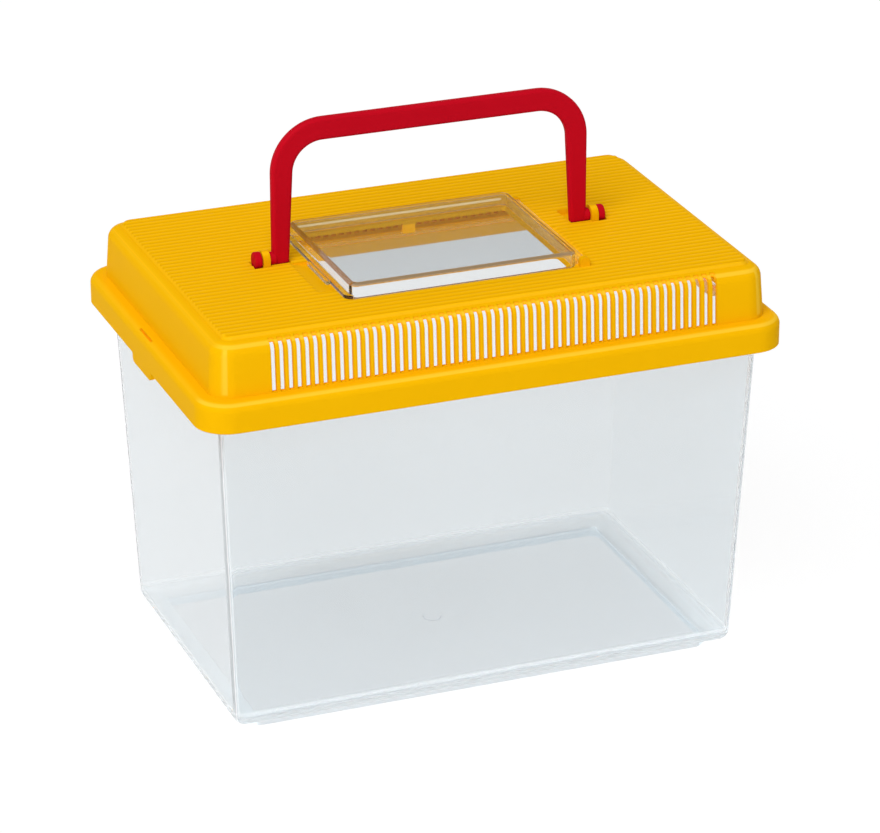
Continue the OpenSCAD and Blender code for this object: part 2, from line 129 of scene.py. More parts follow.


# clear moulded plastic: a glassy body, a thin milky haze, a painted pale glow where a path ends deep in a
# wall, in place of the light that is trapped there, and a see-through shadow; pane is a mask of the part
# with a colour of its own, cloud a mask of the hazier edges, and each painted mark is a mask, a colour, a
# share and a glow, for places where painted light, shade or see-through colour is laid over the glass; a
# mask takes the piece's X, Y and Z in millimetres and gives 0 to 1
def clearPlastic(name, look, pane, paintedMarks, cloud=None):
    paint = Paint(name)
    place, x, y, z = paint.axes()
    waves = paint.noise(place, look["flowScale"], clearBody["flowDetail"])
    haze = paint.noise(place, look["hazeScale"], clearBody["hazeDetail"])
    rough = look["roughness"] + look["roughSpread"] * haze
    lean = paint.node("ShaderNodeBump", None, {
        "Height": waves, "Strength": look["flowDepth"], "Distance": clearBody["flowHeight"]}).outputs[0]
    tone = paint.blend(pane(x, y, z), look["colour"], look["paneColour"])
    glass = paint.node("ShaderNodeBsdfPrincipled", None, {
        "Base Color": tone, "Roughness": rough, "IOR": look["ior"],
        "Transmission Weight": 1.0, "Normal": lean})
    milk = paint.node("ShaderNodeBsdfPrincipled", None, {
        "Base Color": look["milk"], "Roughness": clearBody["milkRoughness"], "IOR": look["ior"],
        "Transmission Weight": 0.0, "Specular IOR Level": clearBody["milkSpecular"], "Normal": lean})
    through = paint.node("ShaderNodeBsdfTranslucent", None, {"Color": look["milk"], "Normal": lean})
    cloudy = paint.node("ShaderNodeMixShader", None,
                        [clearBody["milkThrough"], milk.outputs[0], through.outputs[0]])
    share = look["haze"] + look["hazeSpread"] * (haze - 0.5)
    if cloud:
        share = share + cloud(x, y, z) * look["edgeHaze"]
    body = paint.node("ShaderNodeMixShader", None, [share, glass.outputs[0], cloudy.outputs[0]])
    # each painted mark lays painted light, shade or see-through colour over the glass, with a painted glow
    for mask, colour, part, glow in paintedMarks:
        carried = paint.node("ShaderNodeBsdfPrincipled", None, {
            "Base Color": colour, "Roughness": clearBody["paintedRoughness"],
            "Specular IOR Level": clearBody["paintedSpecular"], "Normal": lean,
            "Emission Color": colour, "Emission Strength": glow})
        body = paint.node("ShaderNodeMixShader", None,
                          [mask(x, y, z) * part, body.outputs[0], carried.outputs[0]])
    # a painted pale glow where a path has gone deeper than lastBounce, in place of the light trapped in the
    # wall
    light = paint.node("ShaderNodeLightPath")
    ending = paint.node("ShaderNodeEmission", None, {"Color": look["paintedTrappedGlow"], "Strength": 1.0})
    inner = paint.node("ShaderNodeMixShader", None, [
        paint.wire(light, "Ray Depth").above(look["lastBounce"]), body.outputs[0], ending.outputs[0]])
    clearWay = paint.node("ShaderNodeBsdfTransparent", None, {"Color": look["shadow"]})
    whole = paint.node("ShaderNodeMixShader", None,
                       [paint.wire(light, "Is Shadow Ray"), inner.outputs[0], clearWay.outputs[0]])
    return paint.surface(whole.outputs[0])


# coloured moulded plastic: two close tones, a fine grain and softened edges; each mark is a mask, a colour
# and a share, painted over the tones (on the lid: painted highlights and painted shade); inside is a mask
# of the faces that get a painted glow, standing in for the light that shines through to them
def colouredPlastic(name, look, marks=(), inside=None):
    paint = Paint(name)
    place, x, y, z = paint.axes()
    grain = paint.noise(place, look["grainScale"], colouredBody["grainDetail"])
    tone = paint.blend(paint.noise(place, look["cloudScale"], colouredBody["cloudDetail"]),
                       look["deep"], look["light"])
    for mask, colour, part in marks:
        tone = paint.blend(mask(x, y, z) * part, tone, colour)
    soft = paint.node("ShaderNodeBevel", {"samples": colouredBody["bevelSamples"]},
                      {"Radius": look["bevel"] * mm})
    lean = paint.node("ShaderNodeBump", None, {
        "Height": grain, "Strength": look["grainDepth"], "Distance": colouredBody["grainHeight"],
        "Normal": soft.outputs[0]})
    sockets = {"Base Color": tone, "Roughness": look["roughness"] + look["roughSpread"] * (grain - 0.5),
               "IOR": colouredBody["ior"], "Specular IOR Level": look["specular"],
               "Normal": lean.outputs[0]}
    if inside:
        sockets["Emission Color"] = paint.blend(inside(x, y, z), (0.0, 0.0, 0.0, 1.0), look["glow"])
        sockets["Emission Strength"] = 1.0
    return paint.surface(paint.node("ShaderNodeBsdfPrincipled", None, sockets).outputs[0])


# 1 inside the upright rectangle of these half sizes, fading to 0 over the next soft millimetres
def within(x, y, half, soft):
    return x.abs().fall(half[0], half[0] + soft) * y.abs().fall(half[1], half[1] + soft)


# 1 outside it, rising from 0 over the same millimetres
def beyond(x, y, half, soft):
    return (x.abs().rise(half[0], half[0] + soft) + y.abs().rise(half[1], half[1] + soft)).clamp()


# 1 where a front corner, rounded in plan, turns from slope low to slope high, at the left and the right:
# slope = run along Y / run along X, both counted from the corner's centre
def frontCorner(x, y, centreX, centreY, low, high, soft):
    alongX, alongY = x.abs() - centreX, (0 - y) - centreY
    leastRun = 0.1
    slope = alongY / alongX.atLeast(leastRun)
    return alongX.above(0.0) * alongY.above(0.0) * slope.between(low, high, soft)


# a rounded rectangle for each row of sizes (half length, half width, corner radius, height): four quarter
# circles of steps + 1 points about the corner centres, and on each straight side one point near either end
def roundedRings(sizes, steps, hold=0.01):
    halfX, halfY, corner, height = [sizes[:, k, None, None] for k in range(4)]
    turn = (np.arange(4)[:, None] + np.linspace(0, 1, steps + 1)[None, :]) * np.pi / 2
    sideX = np.array([1, -1, -1, 1])[:, None]
    sideY = np.array([1, 1, -1, -1])[:, None]
    arcs = np.stack([sideX * (halfX - corner) + corner * np.cos(turn),
                     sideY * (halfY - corner) + corner * np.sin(turn)], axis=-1)
    start = arcs[:, :, -1:]
    end = np.roll(arcs[:, :, :1], -1, axis=1)
    ring = np.concatenate([arcs, start + (end - start) * hold, end - (end - start) * hold], axis=2)
    ring = ring.reshape(len(sizes), -1, 2)
    level = np.broadcast_to(height[:, :, 0], ring.shape[:2])
    return np.dstack([ring, level])


# rounds the corners of a profile: each row is (half length, half width, corner radius, height, more sizes,
# fillet); the arc is worked out in the plane of half length and height, and each of its points is written
# as corner + a * (previous - corner) + b * (next - corner), so that the other sizes follow along; on a
# stretch longer than four times hold, one more row stands that far from either end
def softProfile(rows, steps, hold):
    rows = np.asarray(rows, float)
    parts = []
    for k, row in enumerate(rows):
        if k in (0, len(rows) - 1) or row[-1] <= 0:
            parts.append(row[None, :-1])
            continue
        legs = np.stack([rows[k - 1, :-1] - row[:-1], rows[k + 1, :-1] - row[:-1]])
        flat = legs[:, [0, 3]]
        unit = flat / np.linalg.norm(flat, axis=1)[:, None]
        half = np.arccos(np.clip(unit[0] @ unit[1], -1, 1)) / 2
        middle = (unit[0] + unit[1]) / np.linalg.norm(unit[0] + unit[1]) * row[-1] / np.sin(half)
        swing = np.linspace(-1, 1, steps + 1)[:, None] * (np.pi / 2 - half)
        across = (unit[1] - unit[0]) / np.linalg.norm(unit[1] - unit[0])
        inward = middle / np.linalg.norm(middle)
        arc = middle + row[-1] * (np.sin(swing) * across - np.cos(swing) * inward)
        parts.append(row[:-1] + arc @ np.linalg.inv(flat) @ legs)
    line = [parts[0]]
    for before, after in zip(parts[:-1], parts[1:]):
        gap = after[0] - before[-1]
        length = np.linalg.norm(gap[[0, 3]])
        if length > 4 * hold:
            line.append(before[-1] + np.outer([hold / length, 1 - hold / length], gap))
        line.append(after)
    return np.concatenate(line)


# a profile of (radius, height, fillet) rows turned about Z: a rounded rectangle that is all corner
def turnedRings(profile, steps):
    rows = [(radius, radius, radius, height, fillet) for radius, height, fillet in profile]
    return roundedRings(softProfile(rows, 4, 0.1), steps)


# joins the rings of one surface with quads and closes both ends with a fan round their middle point
def ringFaces(rings, first):
    count, around = rings.shape[:2]
    grid = first + np.arange(count * around).reshape(count, around)
    along = np.roll(grid, -1, axis=1)
    quads = np.stack([grid[:-1], along[:-1], along[1:], grid[1:]], axis=-1).reshape(-1, 4)
    low, high = first + grid.size, first + grid.size + 1
    lowFan = np.stack([np.full(around, low), along[0], grid[0]], axis=-1)
    highFan = np.stack([np.full(around, high), grid[-1], along[-1]], axis=-1)
    points = np.concatenate([rings.reshape(-1, 3), rings[:1].mean(axis=1), rings[-1:].mean(axis=1)])
    return points, quads.tolist() + lowFan.tolist() + highFan.tolist()


# copies a mesh with its doubles merged, which lie within a distance of each other, and shades it smooth
def mergeDoubles(mesh, source, distance):
    shape = bmesh.new()
    shape.from_mesh(source)
    bmesh.ops.remove_doubles(shape, verts=shape.verts, dist=distance)
    shape.to_mesh(mesh)
    shape.free()
    mesh.shade_smooth()


# a finished mesh as a piece that moves with a body and stands for a CAD node
def addPiece(name, mesh, material, body, node):
    mesh.materials.append(material)
    piece = bpy.data.objects.new(name, mesh)
    bpy.context.scene.collection.objects.link(piece)
    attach(piece, body)
    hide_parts(node)


# one piece from several closed surfaces in millimetres, with the points that fall together merged
def buildPiece(name, surfaces, material, body, node):
    points, faces = [], []
    for rings in surfaces:
        spots, joins = ringFaces(rings * mm, sum(len(part) for part in points))
        points.append(spots)
        faces += joins
    mesh = bpy.data.meshes.new(name)
    mesh.from_pydata(np.concatenate(points).tolist(), [], faces)
    mergeDoubles(mesh, mesh, 0.001 * mm)
    addPiece(name, mesh, material, body, node)


# the normal at each triangle's corner: the touching triangles within the crease angle, each counted by the
# square of the whole flat area it belongs to, so n = sum(area ** 2 * n of triangle), made one long
def evenNormals(mesh, crease):
    facingSteps, offsetSteps, shift = 300, 1e4, 0.37  # how finely one flat area is told from the next
    triangles, corners = len(mesh.polygons), len(mesh.loops)
    facing, centre = np.empty(triangles * 3), np.empty(triangles * 3)
    area, vertex = np.empty(triangles), np.empty(corners, dtype=np.int32)
    mesh.polygons.foreach_get("normal", facing)
    mesh.polygons.foreach_get("center", centre)
    mesh.polygons.foreach_get("area", area)
    mesh.loops.foreach_get("vertex_index", vertex)
    facing, centre = facing.reshape(-1, 3), centre.reshape(-1, 3)
    plane = np.column_stack([facing * facingSteps, (facing * centre).sum(axis=1) * offsetSteps])
    flat = np.unique(np.round(plane + shift), axis=0, return_inverse=True)[1].ravel()
    pull = facing * np.bincount(flat, area)[flat][:, None] ** 2
    order = np.argsort(vertex, kind="stable")
    around = np.bincount(vertex)[vertex[order]]
    first = np.searchsorted(vertex[order], vertex[order])
    one = np.repeat(np.arange(corners), around)
    other = first[one] + np.arange(len(one)) - np.repeat(np.cumsum(around) - around, around)
    oneFace, otherFace = order[one] // 3, order[other] // 3
    near = (facing[oneFace] * facing[otherFace]).sum(axis=1) > math.cos(math.radians(crease))
    total = np.zeros((corners, 3))
    np.add.at(total, order[one[near]], pull[otherFace[near]])
    return total / np.maximum(np.linalg.norm(total, axis=1, keepdims=True), 1e-20)


# the CAD solid with its doubles merged, smooth over soft edges and crisp at sharp ones
def smoothCopy(name, node, material, body, crease):
    mesh = bpy.data.meshes.new(name)
    mergeDoubles(mesh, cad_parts[node].data, 0.002 * mm)
    mesh.normals_split_custom_set(evenNormals(mesh, crease))
    addPiece(name, mesh, material, body, node)


# the tub: lengths in millimetres
tub = {
    # the moulding, from the rim down and in
    "rimHalf": (113.2, 73.2), "rimCorner": 10.0, "rimTop": 140.4, "rimThickness": 1.8, "rimSoft": 0.8,
    "overhang": 5.7, "wall": 1.6, "draft": 5.6, "wallCorner": 4.0, "floorRound": 4.2, "foot": 4.0,
    "footInset": 7.0, "footRib": 1.6, "footLean": 0.1, "edgeSoft": 0.35,
    "gate": 3.5, "gateDrop": 0.4, "gateLean": 0.1, "gateSoft": (0.2, 0.15), "gateInside": 4.0,
    # how fine the mesh is, where extra rows keep the flat floor flat, how tight the rounding is there,
    # and how much of the floor's round the outside takes
    "cornerSteps": 10, "filletSteps": 5, "hold": 0.4, "pole": 0.4, "gateHold": 1.5, "ribHold": 2.0,
    "floorHold": 6.0, "tight": (0.2, 0.3), "fullRound": 0.97,
    # the plastic
    "colour": (0.885, 0.907, 0.918, 1.0), "paneColour": (0.79, 0.808, 0.82, 1.0), "ior": 1.32,
    "roughness": 0.02, "roughSpread": 0.03, "flowScale": 9.0, "flowDepth": 0.08,
    "hazeScale": 30.0, "haze": 0.07, "hazeSpread": 0.02, "edgeHaze": 0.4, "milk": (0.84, 0.89, 0.92, 1.0),
    "paintedTrappedGlow": (0.7, 0.75, 0.78, 1.0), "lastBounce": 5.0, "shadow": (0.93, 0.94, 0.95, 1.0),
    # painted light and shade: colour, share and glow
    "cornerPaintedLight": ((0.62, 0.65, 0.67, 1.0), 0.5, 0.4), "paintedGleam": ((0.93, 0.94, 0.95, 1.0), 0.6, 0.1),
    "ring": ((0.7, 0.745, 0.765, 1.0), 0.6, 0.4), "ringTopHighlight": ((0.93, 0.94, 0.95, 1.0), 0.3, 0.3),
    "sillHighlight": ((0.93, 0.94, 0.95, 1.0), 0.2, 0.3), "ringFaceGlow": ((0.6, 0.598, 0.6, 1.0), 0.7, 0.1),
    # where they lie: half sizes in plan, heights or slopes from and to, and how softly they end
    "floorHalf": (91.5, 51.5), "floorFade": 1.0, "floorTop": (6.0, 6.2), "hazeTop": (6.0, 9.0),
    "ringHalf": (94.3, 54.3), "ringOuter": (95.3, 55.3), "ringFade": 0.4, "ringRise": (-1.0, 3.8, 0.4),
    "ringTopRise": (2.8, 3.8, 0.4), "faceTop": (3.4, 3.8), "sillRise": (8.6, 9.6, 0.5),
    "cornerCentre": (97.7, 57.7), "cornerLean": 0.04106, "gleamSlope": (0.42, 0.66, 0.1),
    "paintedCornerSlope": (0.0, 0.4, 0.1)}


# painted shade: the floor inside the foot ring is tinted a little darker than the walls, for the shade
# under the tub
def tubFloorShade(x, y, z):
    return within(x, y, tub["floorHalf"], tub["floorFade"]) * z.fall(*tub["floorTop"])


def pastFloor(x, y):  # over the foot ring and under the walls
    return beyond(x, y, tub["floorHalf"], tub["floorFade"])


# the foot ring and the rounded foot of the walls scatter a little more light
def tubEdges(x, y, z):
    return pastFloor(x, y) * z.fall(*tub["hazeTop"])


def ringInside(x, y):  # from the floor's edge to the inner side of the foot ring
    return pastFloor(x, y) * within(x, y, tub["ringHalf"], tub["ringFade"])


# painted light: the foot ring's inner face, in shade under the floor, is painted as pale as the floor, with
# a painted glow
def tubRingPaintedLight(x, y, z):
    return ringInside(x, y) * z.between(*tub["ringRise"])


# and a painted highlight along its top: a paler, glowing line
def tubRingTopHighlight(x, y, z):
    return ringInside(x, y) * z.between(*tub["ringTopRise"])


# the foot ring's outer face is painted a plain pale grey with a faint painted glow
def tubRingFaceGlow(x, y, z):
    past = beyond(x, y, tub["ringHalf"], tub["ringFade"])
    return past * within(x, y, tub["ringOuter"], tub["ringFade"]) * z.fall(*tub["faceTop"])


# a painted highlight: a pale glowing line where the rounded foot meets the upright walls
def tubSillHighlight(x, y, z):
    return pastFloor(x, y) * z.between(*tub["sillRise"])


# the rounded front corners, whose centres lean out with the walls: centre + lean * z
def tubCorner(x, y, z, slopes):
    centres = [centre + tub["cornerLean"] * z for centre in tub["cornerCentre"]]
    return frontCorner(x, y, *centres, *slopes)


# a painted highlight: a thin bright glowing line up each front corner
def tubPaintedGleam(x, y, z):
    return tubCorner(x, y, z, tub["gleamSlope"])


# and painted light beside it, towards the side wall: a pale grey glowing line laid over the dark line of
# the rounded corner
def tubCornerPaintedLight(x, y, z):
    return tubCorner(x, y, z, tub["paintedCornerSlope"])


clear = clearPlastic("clearTubPlastic", tub, tubFloorShade, [
    (tubCornerPaintedLight, *tub["cornerPaintedLight"]), (tubPaintedGleam, *tub["paintedGleam"]), (tubRingPaintedLight, *tub["ring"]),
    (tubRingTopHighlight, *tub["ringTopHighlight"]), (tubSillHighlight, *tub["sillHighlight"]), (tubRingFaceGlow, *tub["ringFaceGlow"])], tubEdges)


# one closed skin from the gate mark under the floor, out over the foot ring, up the walls, round the rim
# and down the inside to the middle of the floor; each row is a rounded rectangle or a circle, and the
# walls lean outwards by lean = draft / height of the upright wall
def buildTub():
    t = tub
    slack = t["rimHalf"][0] - t["rimHalf"][1]
    wallX = t["rimHalf"][0] - t["overhang"]
    low = t["foot"]
    rimLow = t["rimTop"] - t["rimThickness"]
    lean = t["draft"] / (t["rimTop"] - low - t["floorRound"])
    outerFoot = wallX - lean * (t["rimTop"] - low)
    outerRim = wallX - lean * t["rimThickness"]
    innerFoot = outerFoot - t["wall"] + lean * t["wall"]
    footX = wallX - t["draft"] - t["footInset"]
    ribX = footX - t["footRib"]
    soft = t["edgeSoft"]
    innerRound = t["floorRound"] - t["wall"]

    def row(halfX, height, corner, fillet):
        return halfX, halfX - slack, corner, height, fillet

    def disc(radius, height, fillet):
        return radius, radius, radius, height, fillet

    rings = roundedRings(softProfile([
        disc(t["pole"], low - t["gateDrop"], 0),
        disc(t["gate"], low - t["gateDrop"], t["gateSoft"][0]),
        disc(t["gate"] + t["gateLean"], low, t["gateSoft"][1]),
        disc(t["gate"] + t["gateHold"], low, 0),
        row(ribX - t["ribHold"], low, t["floorRound"] - 1, 0),
        row(ribX, low, t["floorRound"], soft),
        row(ribX + t["footLean"], 0, t["floorRound"], soft),
        row(footX, 0, t["floorRound"] + t["footRib"], soft),
        row(footX + t["footLean"], low, t["floorRound"] + t["footRib"], soft),
        row(outerFoot - t["floorRound"], low, t["tight"][0], 0),
        row(outerFoot, low, t["floorRound"], t["floorRound"] * t["fullRound"]),
        row(outerRim, rimLow, t["wallCorner"], t["rimSoft"]),
        row(t["rimHalf"][0], rimLow, t["rimCorner"], soft),
        row(t["rimHalf"][0], t["rimTop"], t["rimCorner"], soft),
        row(wallX - t["wall"], t["rimTop"], t["wallCorner"] - t["wall"], soft),
        row(innerFoot, low + t["wall"], innerRound, innerRound),
        row(innerFoot - t["floorHold"], low + t["wall"], t["tight"][1], 0),
        disc(t["gateInside"], low + t["wall"], 0),
        disc(t["pole"], low + t["wall"], 0)], t["filletSteps"], t["hold"]), t["cornerSteps"])
    buildPiece("clearTub", [rings], clear, "tank", "tank")


buildTub()
print("tub built")


# the handle: lengths in millimetres, heights from its pivot upwards
handle = {
    # the strap
    "outer": 63.7, "innerFoot": 57.3, "innerBend": 55.3, "rise": 53.6, "bar": 8.8, "thick": 3.8,
    "bendOuter": 20.5, "bendInner": 12.0, "foot": 2.3, "pivotZ": 165.4, "corner": 1.25, "footEdge": 0.8,
    "leastCorner": 0.3, "taperPast": 1.0,
    # radius and reach of the shoulder, the pin and its head, and their fillets
    "shoulder": (2.6, 1.3), "pin": (2.0, 4.7), "head": (3.3, 2.7), "shoulderSoft": 0.3, "pinSoft": 0.2,
    "headSoft": (0.3, 0.6), "pinStart": 1.0, "pole": 0.3,
    # how fine the mesh is
    "legSteps": 12, "bendSteps": 24, "barSteps": 7, "footSteps": 4, "cornerSteps": 5, "pinSteps": 8,
    "hold": 0.05,
    # the plastic
    "deep": (0.52, 0.0035, 0.013, 1.0), "light": (0.56, 0.004, 0.015, 1.0), "roughness": 0.4,
    "roughSpread": 0.06, "grainScale": 900.0, "grainDepth": 0.06, "cloudScale": 30.0, "specular": 0.012,
    "bevel": 0.3}

red = colouredPlastic("redHandlePlastic", handle)


# the strap: at each station an outer and an inner outline point; the section is a rounded rectangle
# laid between them, so its width follows the two outlines and its depth stays the same
def strapRings():
    h = handle
    bendZ = h["rise"] - h["bendOuter"]
    innerTop = h["rise"] - h["bar"]
    innerZ = innerTop - h["bendInner"]
    climb = np.linspace(0, 1, h["legSteps"])[:, None]
    turn = np.linspace(0, np.pi / 2, h["bendSteps"] + 1)[1:, None]
    slide = np.linspace(1, 0, h["barSteps"] + 1)[1:-1, None]
    slope = (h["innerFoot"] - h["innerBend"]) / (innerZ + h["foot"] + h["taperPast"])
    footZ = -h["foot"]
    legOut = np.hstack([0 * climb + h["outer"], footZ + (bendZ - footZ) * climb])
    legInZ = footZ + (innerZ - footZ) * climb
    legIn = np.hstack([h["innerBend"] + slope * (innerZ - legInZ), legInZ])
    outX, inX = h["outer"] - h["bendOuter"], h["innerBend"] - h["bendInner"]
    bendOut = np.hstack([outX + h["bendOuter"] * np.cos(turn), bendZ + h["bendOuter"] * np.sin(turn)])
    bendIn = np.hstack([inX + h["bendInner"] * np.cos(turn), innerZ + h["bendInner"] * np.sin(turn)])
    barOut = np.hstack([outX * slide, 0 * slide + h["rise"]])
    barIn = np.hstack([inX * slide, 0 * slide + innerTop])
    outer = np.concatenate([legOut, bendOut, barOut])
    inner = np.concatenate([legIn, bendIn, barIn])
    flip = np.array([-1, 1])
    outer = np.concatenate([outer, outer[::-1] * flip])
    inner = np.concatenate([inner, inner[::-1] * flip])
    half = np.linalg.norm(outer - inner, axis=1) / 2
    sizes = np.column_stack([half, 0 * half + h["thick"] / 2, 0 * half + h["corner"], 0 * half])
    flat = roundedRings(sizes, h["cornerSteps"], h["hold"])
    middle = (outer + inner) / 2
    way = (outer - inner) / (2 * half[:, None])
    rings = np.stack([middle[:, None, 0] + way[:, None, 0] * flat[..., 0], flat[..., 1],
                      middle[:, None, 1] + way[:, None, 1] * flat[..., 0]], axis=-1)
    # each foot is rounded by shrinking its last section along a quarter circle
    fade = np.linspace(np.pi / 2, 0, h["footSteps"] + 1)[:-1]
    shrink = h["footEdge"] * (1 - np.cos(fade))
    ends = []
    for k in (0, -1):
        cut = np.column_stack([half[k] - shrink, h["thick"] / 2 - shrink,
                               np.maximum(h["corner"] - shrink, h["leastCorner"]), 0 * fade])
        cap = roundedRings(cut, h["cornerSteps"], h["hold"])
        drop = middle[k][1] + h["footEdge"] - h["footEdge"] * np.sin(fade)
        ends.append(np.stack([middle[k][0] + way[k][0] * cap[..., 0], cap[..., 1],
                              np.broadcast_to(drop[:, None], cap.shape[:2])], axis=-1))
        rings[k, :, 2] += h["footEdge"]
    return np.concatenate([ends[0], rings, ends[1][::-1]])


# a shoulder, a pin and its head, turned about X, from inside the strap outwards
def pinRings(side):
    h = handle
    start = h["outer"] - h["pinStart"]
    (wide, shoulder), (thin, reach), (head, depth) = h["shoulder"], h["pin"], h["head"]
    neck = h["outer"] + reach
    rings = turnedRings([
        (h["pole"], start, 0), (wide, start, 0), (wide, h["outer"] + shoulder, h["shoulderSoft"]),
        (thin, h["outer"] + shoulder, h["pinSoft"]), (thin, neck, h["pinSoft"]),
        (head, neck, h["headSoft"][0]), (head, neck + depth, h["headSoft"][1]),
        (h["pole"], neck + depth, 0)], h["pinSteps"])
    turned = np.stack([side * rings[..., 2], rings[..., 0], rings[..., 1]], axis=-1)
    return turned if side > 0 else turned[:, ::-1]


def buildHandle():
    lift = np.array([0, 0, handle["pivotZ"]])
    surfaces = [rings + lift for rings in (strapRings(), pinRings(1), pinRings(-1))]
    buildPiece("carryHandle", surfaces, red, "handle", "handle")


buildHandle()
print("handle built")


# the hatch: lengths in millimetres
hatch = {
    # the tray; lip and barrel are where they start and end along Y, then the lip's reach and the barrel's
    # radius; pin is its radius and reach; lipSoft and webSoft are the rounding in plan and of the edges
    "middle": (-4.0, -11.25), "half": (45.0, 35.5), "corner": 3.2, "low": 164.0, "high": 170.0,
    "wall": 1.5, "topSoft": 1.3, "ceilingSoft": 0.6, "edgeSoft": 0.25, "flange": 2.2, "flangeThick": 1.4,
    "lip": (-30.0, -8.0, 1.6), "lipSoft": (0.8, 0.25), "webSoft": (0.1, 0.05), "sink": 0.02,
    "overlap": 0.1, "hingeX": 44.1, "hingeZ": 165.4, "barrel": (-44.25, 21.75, 1.4), "pin": (1.1, 1.4),
    "pinSoft": 0.2,
    # how fine the mesh is
    "traySteps": 6, "trayHold": 0.5, "trayCorner": 8, "plateSteps": 3, "plateHold": 0.3, "plateCorner": 6,
    "barrelSteps": 6, "pole": 0.3,
    # the plastic
    "colour": (0.93, 0.94, 0.95, 1.0), "paneColour": (0.74, 0.76, 0.77, 1.0), "ior": 1.22,
    "roughness": 0.015, "roughSpread": 0.02, "flowScale": 14.0, "flowDepth": 0.06,
    "hazeScale": 40.0, "haze": 0.004, "hazeSpread": 0.004, "milk": (0.86, 0.89, 0.91, 1.0),
    "paintedTrappedGlow": (0.5, 0.36, 0.14, 1.0), "lastBounce": 6.0, "shadow": (0.93, 0.94, 0.95, 1.0),
    # painted light, shade and see-through colour: colour, share and glow
    "paintedSideAmber": ((1.0, 0.58, 0.05, 1.0), 0.3, 0.0), "paintedGleam": ((0.9, 0.78, 0.5, 1.0), 0.85, 0.35),
    "frontRimPaintedBrown": ((0.376, 0.262, 0.141, 1.0), 0.8, 0.0),
    "backRimPaintedDark": ((0.3, 0.12, 0.008, 1.0), 0.8, 0.0),
    # where they lie: from and to, and how softly they end
    "wallFade": 0.1, "frontRim": (168.8, 169.2), "backRim": (168.4, 169.0), "paneRise": (168.1, 168.4),
    "gleamDepth": (32.8, 34.1, 0.3), "gleamEnd": (41.5, 42.5), "gleamRise": (166.1, 167.0, 0.3)}


# 1 over the hatch's left, right, front and rear wall, and 0 inside them
def hatchSides(x, y):
    offX, offY = x - hatch["middle"][0], y - hatch["middle"][1]
    innerX, innerY = [size - hatch["wall"] for size in hatch["half"]]
    past = (0 - offX - innerX, offX - innerX, 0 - offY - innerY, offY - innerY)
    return [value.rise(-hatch["wallFade"], hatch["wallFade"]) for value in past]


# the top edge of the hatch's front wall is painted the lid's brown, as the light that the wall carries up
# from the lid below, and that of its other walls a painted dark amber line
def hatchFrontRim(x, y, z):
    return hatchSides(x, y)[2] * z.rise(*hatch["frontRim"])


def hatchBackRim(x, y, z):
    left, right, front, rear = hatchSides(x, y)
    return (left + right + rear).clamp() * (1 - front) * z.rise(*hatch["backRim"])


# the right wall and the hinge beside it, and the rear wall, are painted with some of the lid's yellow all
# over, in place of the lid seen through them
def hatchSidePaintedAmber(x, y, z):
    right, front, rear = hatchSides(x, y)[1:]
    return (right + rear).clamp() * (1 - front)


# a painted highlight: a pale glowing line along the rear inner corner under the pane
def hatchPaintedGleam(x, y, z):
    offX, offY = (x - hatch["middle"][0]).abs(), y - hatch["middle"][1]
    line = offY.between(*hatch["gleamDepth"]) * offX.fall(*hatch["gleamEnd"])
    return line * z.between(*hatch["gleamRise"])


# the flat pane is a little greyer than the thin walls
def hatchPane(x, y, z):
    left, right, front, rear = hatchSides(x, y)
    return (1 - (left + right + front + rear).clamp()) * z.rise(*hatch["paneRise"])


glassy = clearPlastic("clearHatchPlastic", hatch, hatchPane, [
    (hatchSidePaintedAmber, *hatch["paintedSideAmber"]), (hatchPaintedGleam, *hatch["paintedGleam"]),
    (hatchFrontRim, *hatch["frontRimPaintedBrown"]), (hatchBackRim, *hatch["backRimPaintedDark"])])


# the tray: one closed skin from its ceiling out over the walls and flange to its top, where each row is
# (half length, half width, corner, height, shift of the middle along X, fillet)
def trayRings():
    h = hatch
    slack = h["half"][0] - h["half"][1]
    halfX = h["half"][0]
    innerX, innerCorner = halfX - h["wall"], h["corner"] - h["wall"]
    ceiling = h["high"] - h["wall"]
    step = h["low"] + h["flangeThick"]
    reach = h["flange"] / 2
    soft = h["edgeSoft"]
    sliver = 0.1  # what is left of the width where the skin closes

    def row(x, corner, height, fillet, out=0.0):
        return x + out, x - slack, corner, height, -out, fillet

    rows = softProfile([
        row(slack + sliver, sliver / 2, ceiling, 0),
        row(innerX, innerCorner, ceiling, h["ceilingSoft"]),
        row(innerX, innerCorner, h["low"], soft),
        row(halfX, h["corner"], h["low"], soft, reach),
        row(halfX, h["corner"], step, soft, reach),
        row(halfX, h["corner"], step, soft),
        row(halfX, h["corner"], h["high"], h["topSoft"]),
        row(slack + sliver, sliver / 2, h["high"], 0)], h["traySteps"], h["trayHold"])
    rings = roundedRings(rows, h["trayCorner"])
    rings[..., 0] += rows[:, 4, None] + h["middle"][0]
    rings[..., 1] += h["middle"][1]
    return rings


# a flat plate between two opposite corners, with rounded upright corners and soft edges
def plateRings(low, high, corner, soft):
    low, high = np.array(low), np.array(high)
    half = (high - low) / 2
    slack = half[0] - half[1]
    start, tight = max(slack, 0) + 0.05, 0.02  # the sliver where the skin closes

    def row(x, rounding, height, fillet):
        return x, x - slack, rounding, height, fillet

    rings = roundedRings(softProfile([
        row(start, tight, low[2], 0), row(half[0], corner, low[2], soft),
        row(half[0], corner, high[2], soft), row(start, tight, high[2], 0)],
        hatch["plateSteps"], hatch["plateHold"]), hatch["plateCorner"])
    rings[..., :2] += (low + half)[:2]
    return rings


